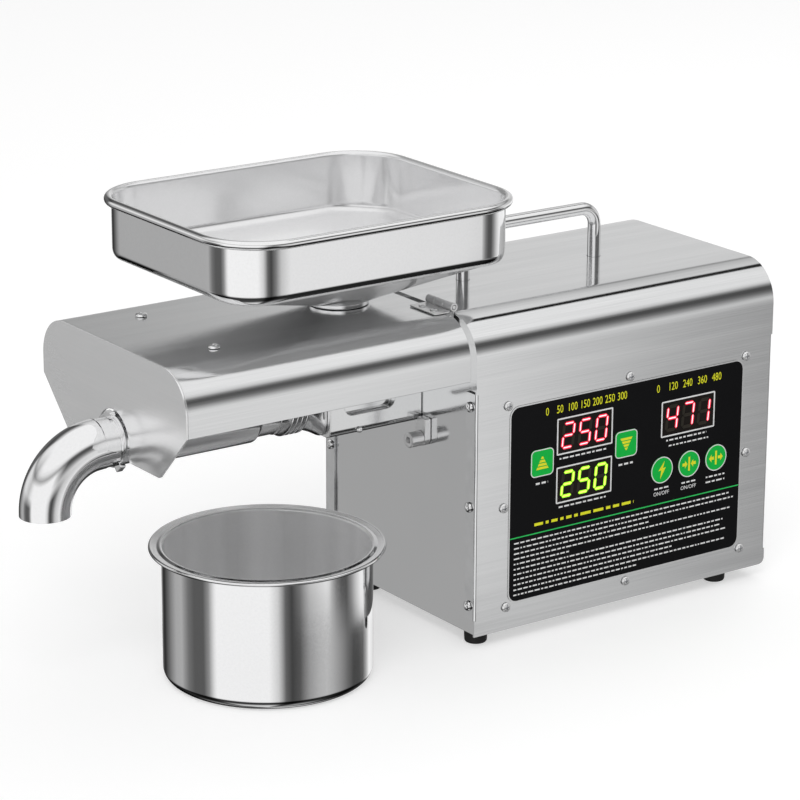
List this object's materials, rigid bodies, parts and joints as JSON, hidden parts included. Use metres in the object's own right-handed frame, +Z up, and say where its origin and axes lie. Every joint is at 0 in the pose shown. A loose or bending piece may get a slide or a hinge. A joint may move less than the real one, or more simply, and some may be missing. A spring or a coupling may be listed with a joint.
{
  "type": "screw oil press",
  "caption": "Bench-top screw press: feed tray over a heated barrel under a hinged hood, bent cake spout, oil cup, and a housing with motor, gears and key panel.",
  "frame": {"origin": "on the floor, under the middle of the whole machine's box", "axes": "+X from the spout to the motor end, -Y towards the control panel, +Z up"},
  "size_m": [0.4842, 0.19, 0.2705],
  "materials": {
    "brushed_steel": "brushed along the machine",
    "satin_steel": "satin, blurred reflections",
    "polished_steel": "mirror polished stainless",
    "chrome": "bright plated",
    "gear_steel": "machined steel",
    "cast_aluminium": "cast, bead blasted",
    "motor_paint": "semi-gloss black",
    "foot_rubber": "moulded rubber",
    "panel_black": "gloss black front film",
    "display_window": "dark window over lit digits",
    "green_key": "green keys",
    "circuit_board": "solder mask green",
    "black_plastic": "moulded black"
  },
  "bodies": {
    "housing": {"base_tray": "brushed_steel", "bearing_front": "gear_steel", "bearing_rear": "gear_steel", "cake_nozzle": "polished_steel", "carry_handle": "polished_steel", "control_board": "circuit_board", "control_panel": "panel_black", "current_display": "display_window", "drive_board": "circuit_board", "fan_frame": "black_plastic", "feed_block": "polished_steel", "foot_front_far": "foot_rubber", "foot_front_near": "foot_rubber", "foot_rear_far": "foot_rubber", "foot_rear_near": "foot_rubber", "front_plate": "satin_steel", "gearbox_case": "cast_aluminium", "gearbox_cover": "cast_aluminium", "handle_nut_front": "chrome", "handle_nut_rear": "chrome", "heater_sleeve": "polished_steel", "hinge_fixed_far": "polished_steel", "hinge_fixed_near": "polished_steel", "housing_cover": "brushed_steel", "latch_screw": "chrome", "motor_can": "motor_paint", "motor_end_cap": "cast_aluminium", "motor_magnets": "gear_steel", "panel_frame": "chrome", "power_inlet": "black_plastic", "press_barrel": "polished_steel", "rear_panel": "brushed_steel", "set_display": "display_window", "spout_collar": "polished_steel", "spout_elbow": "polished_steel", "switch_frame": "black_plastic", "timer_display": "display_window"},
    "hood": {"hood_shell": "brushed_steel", "hood_end_plate": "satin_steel", "hood_screw_near": "chrome", "hood_screw_far": "chrome", "hinge_leaf_near": "polished_steel", "hinge_leaf_far": "polished_steel"},
    "hopper": {"hopper_tray": "polished_steel", "hopper_neck": "polished_steel"},
    "oil_cup": {"oil_cup": "polished_steel"},
    "raise_button": {"raise_button": "green_key"},
    "lower_button": {"lower_button": "green_key"},
    "power_button": {"power_button": "green_key"},
    "press_button": {"press_button": "green_key"},
    "reverse_button": {"reverse_button": "green_key"},
    "power_rocker": {"power_rocker": "black_plastic"},
    "press_drive": {"press_screw": "gear_steel", "output_shaft": "gear_steel", "output_gear": "gear_steel"},
    "counter_gear": {"counter_gear": "gear_steel"},
    "motor_rotor": {"motor_rotor": "gear_steel", "motor_fan": "black_plastic"},
    "cooling_fan": {"fan_rotor": "black_plastic"},
    "block_latch": {"block_latch": "polished_steel"}
  },
  "joints": [
    {"name": "hood_hinge", "type": "hinge", "parent": "housing", "child": "hood", "pos_m": [0.01392, 0.01055, 0.2052], "axis": [0, 1, 0], "range_deg": [0, 95]},
    {"name": "hopper_lift", "type": "slide", "parent": "housing", "child": "hopper", "axis": [0, 0, 1], "range_m": [0, 0.3]},
    {"name": "cup_slide", "type": "slide", "parent": "housing", "child": "oil_cup", "axis": [0, -1, 0], "range_m": [0, 0.16]},
    {"name": "motor_spin", "type": "hinge", "parent": "housing", "child": "motor_rotor", "pos_m": [0.11392, 0.01595, 0.082], "axis": [1, 0, 0], "continuous": true},
    {"name": "counter_spin", "type": "hinge", "parent": "housing", "child": "counter_gear", "pos_m": [0.04392, 0.03755, 0.1108], "axis": [1, 0, 0], "continuous": true},
    {"name": "press_spin", "type": "hinge", "parent": "housing", "child": "press_drive", "pos_m": [0.01392, 0.01055, 0.1468], "axis": [1, 0, 0], "continuous": true},
    {"name": "fan_spin", "type": "hinge", "parent": "housing", "child": "cooling_fan", "pos_m": [0.22393, 0.01055, 0.128], "axis": [1, 0, 0], "continuous": true},
    {"name": "latch_swing", "type": "hinge", "parent": "housing", "child": "block_latch", "pos_m": [0.01392, -0.01645, 0.119], "axis": [1, 0, 0], "range_deg": [0, 90]},
    {"name": "rocker_tilt", "type": "hinge", "parent": "housing", "child": "power_rocker", "pos_m": [0.23592, -0.01945, 0.045], "axis": [0, -1, 0], "range_deg": [0, 24]},
    {"name": "raise_press", "type": "slide", "parent": "housing", "child": "raise_button", "axis": [0, 1, 0], "range_m": [0, 0.0006], "stiffness_N_per_m": 400, "springref_m": -0.0005},
    {"name": "lower_press", "type": "slide", "parent": "housing", "child": "lower_button", "axis": [0, 1, 0], "range_m": [0, 0.0006], "stiffness_N_per_m": 400, "springref_m": -0.0005},
    {"name": "power_press", "type": "slide", "parent": "housing", "child": "power_button", "axis": [0, 1, 0], "range_m": [0, 0.0006], "stiffness_N_per_m": 400, "springref_m": -0.0005},
    {"name": "press_press", "type": "slide", "parent": "housing", "child": "press_button", "axis": [0, 1, 0], "range_m": [0, 0.0006], "stiffness_N_per_m": 400, "springref_m": -0.0005},
    {"name": "reverse_press", "type": "slide", "parent": "housing", "child": "reverse_button", "axis": [0, 1, 0], "range_m": [0, 0.0006], "stiffness_N_per_m": 400, "springref_m": -0.0005}
  ],
  "couplings": [
    {"joint": "hopper_lift", "follows": "hood_hinge", "m_per_rad": 0.18},
    {"joint": "counter_spin", "follows": "motor_spin", "ratio": -0.25},
    {"joint": "press_spin", "follows": "motor_spin", "ratio": 0.0625}
  ]
}
